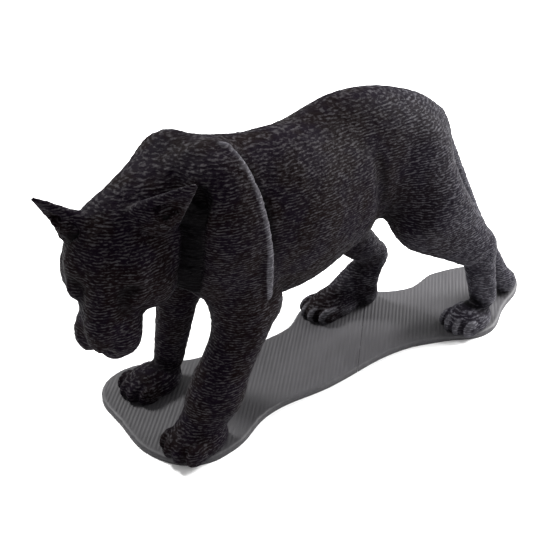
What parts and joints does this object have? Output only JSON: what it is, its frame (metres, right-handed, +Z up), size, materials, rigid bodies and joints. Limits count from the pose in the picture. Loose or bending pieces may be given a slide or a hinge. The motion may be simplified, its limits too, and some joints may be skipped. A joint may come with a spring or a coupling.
{
  "type": "panther shelf figure",
  "caption": "Matte black walking panther figure, head lowered and turned, on a flat ribbed plate shaped round its paws, built from doweled sections.",
  "frame": {"origin": "on the underside of the base, on the base_underside mount, at the middle of the base's length", "axes": "+Z up; -X towards the head end, +X towards the tail; -Y towards the animal's left side"},
  "size_m": [0.3222, 0.1003, 0.1619],
  "materials": {
    "body_plastic": "matte black, short raised layer dashes all over",
    "base_plastic": "matte dark grey, fine parallel ribs on top",
    "dowel_wood": "plain beech dowel, unfinished",
    "screw_steel": "zinc-plated steel",
    "pin_steel": "plain drawn steel rod"
  },
  "bodies": {
    "root": {"base_front_plate": "base_plastic", "base_rear_plate": "base_plastic", "base_splice_pins": "pin_steel", "chest_section": "body_plastic", "hip_section": "body_plastic", "head": "body_plastic", "left_ear": "body_plastic", "right_ear": "body_plastic", "left_foreleg": "body_plastic", "right_foreleg": "body_plastic", "left_hind_leg": "body_plastic", "right_hind_leg": "body_plastic", "tail": "body_plastic", "neck_dowels": "dowel_wood", "waist_dowels": "dowel_wood", "foreleg_dowels": "dowel_wood", "hind_leg_dowels": "dowel_wood", "paw_screws": "screw_steel"}
  },
  "joints": []
}
